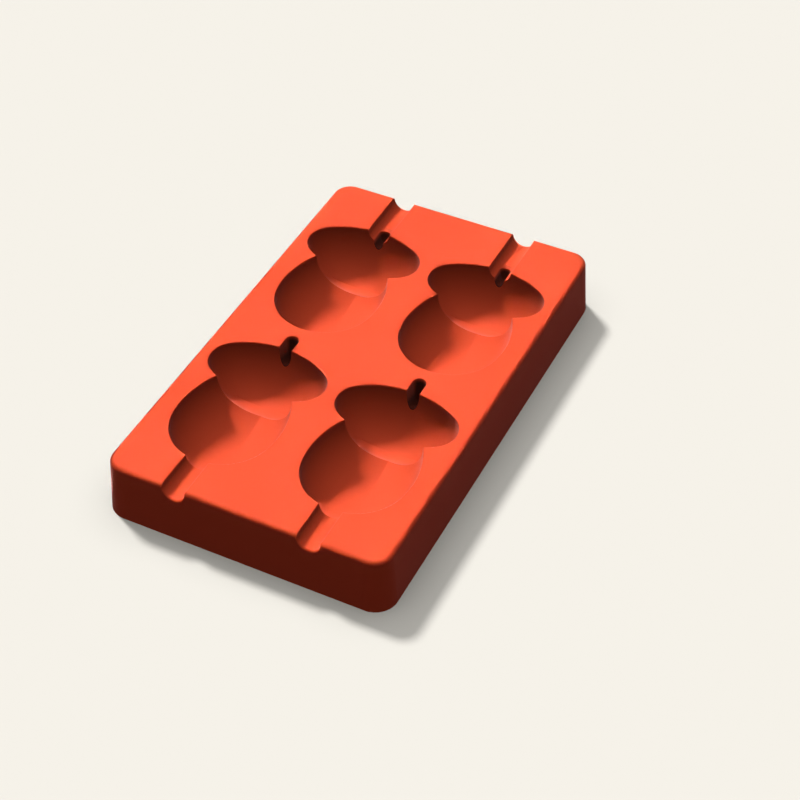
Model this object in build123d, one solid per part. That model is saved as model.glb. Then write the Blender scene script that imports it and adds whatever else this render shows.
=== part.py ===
from build123d import *
import math
import os

# Sizes in millimetres, angles in degrees. X runs across the mold, Y along it,
# and Z up. The origin is at the middle of the flat underside.

# Cap bowl: a four-centre oval at the rim, with its long axis across the mold
cap_length = 52.2
cap_width = 30.7
cap_end_radius = 10.7
cap_depth = 21.2

# Nut bowl: a round end that runs into two flatter side arcs, which close to a
# point behind the cap. The shoulder angle is where the round end hands over.
nut_round_radius = 22.1
nut_side_radius = 41.2
nut_shoulder_angle = 8.6
nut_depth = 21.3
nut_to_cap = 33.55

# Stem slot behind the cap. Its floor slopes down to its deepest part at the tip.
stem_width = 6.2
stem_depth = 10.4
stem_floor_angle = 18.0
stem_reach = 23.6

# Stick channel: a half-round groove from the end of the mold into the bowls
stick_width = 9.5
stick_clearance = 0.2

# Block. The floor thickness is what stays under the nuts, the deepest bowls.
columns = 2
rows = 2
column_gap = 5.2
row_gap = 4.85
side_wall = 4.9
end_wall = 16.85
floor_thickness = 4.2
corner_radius = 9.3
draft_angle = 4.0

# Rounded edges
bowl_rim_round = 0.4
stem_rim_round = 0.35
channel_rim_round = 0.5
channel_mouth_round = 1.0
top_edge_round = 1.9

# Sizes that follow from those above
height = nut_depth + floor_thickness
channel_radius = stick_width / 2 + stick_clearance
acorn_length = nut_round_radius + nut_to_cap + stem_reach
pitch_x = cap_length + column_gap
pitch_y = acorn_length + row_gap
top_width = (columns - 1) * pitch_x + cap_length + 2 * side_wall
top_length = (rows - 1) * pitch_y + acorn_length + 2 * end_wall
flare = height * math.tan(math.radians(draft_angle))
cap_y = acorn_length / 2 - stem_reach
nut_y = cap_y - nut_to_cap

# How far a cutting shape reaches past the face that it opens, or into its neighbour
overrun = 2.0


def radial_plane(centre, angle):
    """Upright plane through a centre: its local X points out at the angle."""
    c = math.cos(math.radians(angle))
    s = math.sin(math.radians(angle))
    return Plane(origin=centre, x_dir=(c, s, 0), z_dir=(s, -c, 0))


def bowl_section(rim_radius, reach, depth, rim_round, inner):
    """Half of a bowl's cross-section, from the radius `inner` to a rounded rim.

    The wall is a quarter ellipse: `reach` wide in plan, down to `depth`.
    """
    wall = rim_radius - rim_round
    middle = wall - reach
    swing = 90.0
    low = depth
    floor = []
    if middle < inner:
        swing = math.degrees(math.acos((inner - middle) / reach))
        low = rim_round + (depth - rim_round) * math.sin(math.radians(swing))
    if middle > inner:
        floor = [Line((middle, -low), (inner, -low))]
    edges = [
        Line((inner, overrun), (rim_radius, overrun)),
        Line((rim_radius, overrun), (rim_radius, 0)),
        CenterArc((rim_radius, -rim_round), rim_round, 90, 90),
        EllipticalCenterArc(
            (middle, -rim_round), reach, depth - rim_round, 0, arc_size=-swing
        ),
        *floor,
        Line((inner, -low), (inner, overrun)),
    ]
    return make_face(edges)


def bowl_sector(centre, rim_radius, reach, depth, rim_round, inner, start, sweep):
    """Stretch of a bowl whose rim is one arc, turned about that arc's centre."""
    section = bowl_section(rim_radius, reach, depth, rim_round, inner)
    upright = radial_plane(centre, start) * section
    return revolve(upright, Axis(centre, (0, 0, 1)), sweep)


def half_space(angle):
    """Large box on one side of an upright plane, to trim a sector at an axis."""
    size = 4 * (top_width + top_length)
    return Rot(0, 0, angle) * Pos(size / 2, 0, 0) * Box(size, size, size)


def cap_bowl():
    """Cap: a tight sector at each end and a flat one along each side."""
    a = cap_length / 2
    b = cap_width / 2
    r = cap_end_radius
    side_radius = (a * a + b * b - 2 * a * r) / (2 * (b - r))
    reach = b - bowl_rim_round
    turn = math.degrees(math.atan2(side_radius - b, a - r))
    end = bowl_sector(
        (a - r, 0, 0), r, reach, cap_depth, bowl_rim_round, 0, -turn, 2 * turn
    )
    side = bowl_sector(
        (0, b - side_radius, 0), side_radius, reach, cap_depth, bowl_rim_round,
        side_radius - b - overrun, turn, 180 - 2 * turn,
    )
    side &= half_space(90)
    half = end + side
    return half + Rot(0, 0, 180) * half


def nut_bowl():
    """Nut: a round end sector, and two side sectors that meet in a crease."""
    step = nut_side_radius - nut_round_radius
    angle = math.radians(nut_shoulder_angle)
    side_x = -step * math.cos(angle)
    side_y = step * math.sin(angle)
    reach = nut_round_radius - bowl_rim_round
    bowl = bowl_sector(
        (0, 0, 0), nut_round_radius, reach, nut_depth, bowl_rim_round, 0,
        180 + nut_shoulder_angle, 180 - 2 * nut_shoulder_angle,
    )
    side = bowl_sector(
        (side_x, side_y, 0), nut_side_radius, reach, nut_depth, bowl_rim_round,
        step - overrun, -nut_shoulder_angle, nut_shoulder_angle + 90,
    )
    side &= half_space(0)
    return bowl + side + mirror(side, Plane.YZ)


def stem_section(y, depth):
    """Cross-section of the stem slot, standing across it at a distance `y`."""
    radius = stem_width / 2
    half = bowl_section(radius, radius - stem_rim_round, depth, stem_rim_round, 0)
    return radial_plane((0, y, 0), 0) * (half + mirror(half, Plane.YZ))


def stem_slot():
    """Narrow slot with a round end, open toward the cap and deepest at its tip."""
    radius = stem_width / 2
    tip = stem_reach - radius
    start = cap_width / 2 - stem_width
    rise = (tip - start) * math.tan(math.radians(stem_floor_angle))
    end = bowl_sector(
        (0, tip, 0), radius, radius - stem_rim_round, stem_depth, stem_rim_round, 0, 0, 180
    )
    run = loft([stem_section(start, stem_depth - rise), stem_section(tip, stem_depth)])
    return end + run


def acorn_cavity():
    """One acorn: cap bowl, nut bowl and stem slot, hanging from Z = 0."""
    cap = Pos(0, cap_y, 0) * (cap_bowl() + stem_slot())
    return cap + Pos(0, nut_y, 0) * nut_bowl()


def stick_channel(start, end):
    """Half-round groove from inside a bowl to an end face, with a flared mouth."""
    rim = channel_radius + channel_rim_round
    half = bowl_section(rim, channel_radius, rim, channel_rim_round, 0)
    whole = half + mirror(half, Plane.YZ)
    way = 1 if end > start else -1
    run = abs(end - start) + flare + overrun
    groove = Pos(0, start, 0) * extrude(Plane.XZ * whole, -way * run)
    m = channel_mouth_round
    lip = end + way * (rim + m) * math.tan(math.radians(draft_angle))
    neck = lip - way * m
    past = lip + way * overrun
    mouth = make_face(
        [
            Line((0, past), (0, neck)),
            Line((0, neck), (channel_radius, neck)),
            CenterArc((channel_radius + m, neck), m, 180, -way * 90),
            Line((channel_radius + m, lip), (channel_radius + m, past)),
            Line((channel_radius + m, past), (0, past)),
        ]
    )
    flared = revolve(mouth, Axis((0, 0, 0), (0, 1, 0)), 360)
    return groove + Pos(0, 0, -channel_rim_round) * flared


def block():
    """Rounded block with its four sides flared toward the base."""
    base = RectangleRounded(top_width + 2 * flare, top_length + 2 * flare, corner_radius)
    body = extrude(base, height, taper=draft_angle)
    top = body.faces().sort_by(Axis.Z)[-1]
    return fillet(top.edges(), top_edge_round)


def mold_body():
    """The whole mold: one casting with its cavities and stick channels."""
    body = block()
    cavity = acorn_cavity()
    first_x = -(columns - 1) * pitch_x / 2
    first_y = -(rows - 1) * pitch_y / 2
    for i in range(columns):
        x = first_x + i * pitch_x
        for j in range(rows):
            body -= Pos(x, first_y + j * pitch_y, height) * cavity
        near = stick_channel(first_y + nut_y, -top_length / 2)
        far = stick_channel(first_y + (rows - 1) * pitch_y + cap_y, top_length / 2)
        body -= Pos(x, 0, height) * near
        body -= Pos(x, 0, height) * far
    return body


os.makedirs("parts", exist_ok=True)
mold = mold_body()
mold.label = "mold_body"
export_step(mold, "parts/mold_body.step")
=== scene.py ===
import math
import bpy
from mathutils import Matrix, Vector

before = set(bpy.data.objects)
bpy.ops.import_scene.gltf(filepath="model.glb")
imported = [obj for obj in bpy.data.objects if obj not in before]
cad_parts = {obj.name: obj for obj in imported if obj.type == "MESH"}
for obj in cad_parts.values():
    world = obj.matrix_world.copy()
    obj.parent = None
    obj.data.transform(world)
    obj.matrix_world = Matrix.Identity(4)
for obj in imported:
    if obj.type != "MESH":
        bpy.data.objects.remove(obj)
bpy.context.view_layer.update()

# Mold body. One block of silicone rubber, poured around a master of four
# acorns. The pigment goes right through it, and the mixing left faint clouds.
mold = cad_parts["mold_body"]


class Socket:
    """A value inside a material: an expression on it adds its Math nodes."""

    def __init__(self, material, socket):
        self.material = material
        self.socket = socket

    def __add__(self, other):
        return self.material.math("ADD", self, other)

    def __radd__(self, other):
        return self.material.math("ADD", other, self)

    def __sub__(self, other):
        return self.material.math("SUBTRACT", self, other)

    def __rsub__(self, other):
        return self.material.math("SUBTRACT", other, self)

    def __mul__(self, other):
        return self.material.math("MULTIPLY", self, other)

    def __rmul__(self, other):
        return self.material.math("MULTIPLY", other, self)

    def __truediv__(self, other):
        return self.material.math("DIVIDE", self, other)

    def __rtruediv__(self, other):
        return self.material.math("DIVIDE", other, self)

    def __gt__(self, other):
        return self.material.math("GREATER_THAN", self, other)

    def __lt__(self, other):
        return self.material.math("LESS_THAN", self, other)

    def __abs__(self):
        return self.material.math("ABSOLUTE", self)


class Finish:
    """A procedural material, and the one method that adds a node to it."""

    def __init__(self, name):
        self.data = bpy.data.materials.new(name)
        self.data.use_nodes = True
        self.tree = self.data.node_tree
        self.tree.nodes.clear()
        self.output = self.tree.nodes.new("ShaderNodeOutputMaterial")

    def node(self, kind, settings=None, inputs=(), output=0):
        """Adds a node: its settings first, then values or links, by index or by name."""
        made = self.tree.nodes.new(kind)
        for key, value in (settings or {}).items():
            setattr(made, key, value)
        pairs = inputs.items() if isinstance(inputs, dict) else enumerate(inputs)
        for key, value in pairs:
            if isinstance(value, Socket):
                self.tree.links.new(value.socket, made.inputs[key])
            else:
                made.inputs[key].default_value = value
        return Socket(self, made.outputs[output])

    def math(self, operation, *values):
        return self.node("ShaderNodeMath", {"operation": operation}, values)

    def noise(self, place, size, detail):
        """Cloudy pattern from 0 to 1, with features about `size` metres across."""
        return self.node("ShaderNodeTexNoise", inputs={
            "Vector": place, "Scale": 1 / size, "Detail": detail, "Roughness": 0.5,
        })

    def fade(self, value, start, end):
        """Goes smoothly from 0 to 1 while the value goes from `start` to `end`."""
        return self.node("ShaderNodeMapRange", {"interpolation_type": "SMOOTHSTEP"}, {
            "Value": value, "From Min": start, "From Max": end,
        })

    def blend(self, share, first, second):
        """Mixes two colours. The Mix node's colour sockets go by their index."""
        return self.node("ShaderNodeMix", {"data_type": "RGBA"}, {
            "Factor": share, 6: first, 7: second,
        }, output=2)

    def surface(self, shader):
        self.tree.links.new(shader.socket, self.output.inputs["Surface"])


orange_red = (0.846, 0.0880, 0.0332, 1.0)
paler_orange_red = (0.874, 0.0920, 0.0350, 1.0)
cloud_size = 0.018
silicone = Finish("silicone_rubber")
place = silicone.node("ShaderNodeTexCoord", output="Object")
cloud = silicone.noise(place, cloud_size, detail=2.0)
pigment = silicone.blend(cloud, orange_red, paler_orange_red)

# Painted shade. The base colour is painted dark in the four narrow stem slots,
# standing in for the deep shade there. It fades up their walls. A slot of the far row
# starts at the bottom of a stick channel, and one of the near row at the top.
painted_shade_colour = (0.13, 0.022, 0.012, 1.0)
top_level = 0.0255
slot_column = 0.0287
near_cap = -0.0260
row_pitch = 0.0841
row_split = 0.03
channel_depth = 0.0045
slot_half_width = 0.00275
slot_depth = 0.0104
slot_tip = 0.0205
slot_slope = 0.325
slot_middle = 0.0175
slot_half_length = 0.0075
wall_margin = 1.12
x, y, z = [
    silicone.node("ShaderNodeSeparateXYZ", inputs=[place], output=axis) for axis in "XYZ"
]
far_row = y > row_split
across = abs(abs(x) - slot_column)
along = y - near_cap - far_row * row_pitch
depth = top_level - z

# The slot's section is half an ellipse, as deep as its sloping floor is there.
slot_floor = slot_depth - (slot_tip - along) * slot_slope
width_share = across / slot_half_width
depth_share = depth / slot_floor
in_section = width_share * width_share + depth_share * depth_share < wall_margin
in_length = abs(along - slot_middle) < slot_half_length
from_rim = silicone.fade(depth - far_row * channel_depth, start=0.0002, end=0.0024)
from_wall = silicone.fade(across, start=0.0032, end=0.0018)
# Where the painted shade lies: deep inside each stem slot, away from its rim.
painted_slot_shade = in_section * in_length * from_rim * from_wall

# Skin. It is matt, with a soft ripple and a very fine grain from the box that
# the rubber was cast in, and it shows a gray sheen at a grazing look.
grain_size = 0.0003
ripple_size = 0.0016
relief_height = 0.00002
grain = silicone.noise(place, grain_size, detail=1.0)
ripple = silicone.noise(place, ripple_size, detail=2.0)
relief = silicone.node("ShaderNodeBump", inputs={
    "Strength": 1.0, "Distance": relief_height, "Height": ripple * 0.6 + grain * 0.4,
})
silicone.surface(silicone.node("ShaderNodeBsdfPrincipled", inputs={
    # The base colour carries the painted shade of the stem slots.
    "Base Color": silicone.blend(painted_slot_shade, pigment, painted_shade_colour),
    "Roughness": 0.62 + cloud * 0.16,
    "Normal": relief,
    "Specular IOR Level": 0.05,
    "Sheen Weight": 0.24,
    "Sheen Roughness": 0.35,
    "Sheen Tint": (0.5, 0.62, 0.70, 1.0),
}))
mold.data.materials.clear()
mold.data.materials.append(silicone.data)

# Floor. A plain pale surface, wide enough to fill every view. It throws no
# light back at the mold.
reach = 20.0
pale_gray = (0.592, 0.570, 0.523, 1.0)
floor_mesh = bpy.data.meshes.new("floor")
floor_mesh.from_pydata(
    [(-reach, -reach, 0), (reach, -reach, 0), (reach, reach, 0), (-reach, reach, 0)],
    [],
    [(0, 1, 2, 3)],
)
floor = bpy.data.objects.new("floor", floor_mesh)
bpy.context.scene.collection.objects.link(floor)
floor.visible_diffuse = False
floor_paint = Finish("floor_paint")
floor_paint.surface(floor_paint.node("ShaderNodeBsdfDiffuse", inputs={"Color": pale_gray}))
floor_mesh.materials.append(floor_paint.data)


# Lights. A soft key light from the left and behind, and a broad one overhead,
# which is brighter on the floor than on the mold. Nothing else gives light: the
# world is black, and the light that reaches a surface isn't passed on.
def soft_light(name, direction, strength, angle, receivers=()):
    """A far lamp, `angle` degrees wide, that shines along the direction."""
    lamp = bpy.data.lights.new(name, "SUN")
    lamp.energy = strength
    lamp.angle = math.radians(angle)
    made = bpy.data.objects.new(name, lamp)
    made.rotation_euler = Vector(direction).to_track_quat("-Z", "Y").to_euler()
    bpy.context.scene.collection.objects.link(made)
    if receivers:
        group = bpy.data.collections.new(name + "_receivers")
        for receiver in receivers:
            group.objects.link(receiver)
        made.light_linking.receiver_collection = group


down = (0.0, 0.0, -1.0)
soft_light("key_light", (0.66, -0.38, -1.0), strength=3.38, angle=8.5)
soft_light("overhead_light_mold", down, strength=1.30, angle=80.0, receivers=[mold])
soft_light("overhead_light_floor", down, strength=2.20, angle=80.0, receivers=[floor])
studio = bpy.data.worlds.new("studio")
studio.use_nodes = True
studio.node_tree.nodes["Background"].inputs["Strength"].default_value = 0.0
bpy.context.scene.world = studio
bpy.context.scene.cycles.diffuse_bounces = 0

# Camera. It stands to the right of the mold's near end and looks down on it,
# through a long lens that keeps the far edges nearly parallel to the near ones.
lens = bpy.data.cameras.new("camera")
lens.sensor_width = 36.0
lens.lens = 84.06
azimuth = math.radians(26.265)
elevation = math.radians(43.517)
look = Vector((
    -math.sin(azimuth) * math.cos(elevation),
    math.cos(azimuth) * math.cos(elevation),
    -math.sin(elevation),
))
camera = bpy.data.objects.new("camera", lens)
camera.location = (0.2612, -0.4940, 0.5300)
camera.rotation_euler = look.to_track_quat("-Z", "Y").to_euler()
bpy.context.scene.collection.objects.link(camera)
bpy.context.scene.camera = camera
bpy.context.scene.view_settings.view_transform = "Standard"
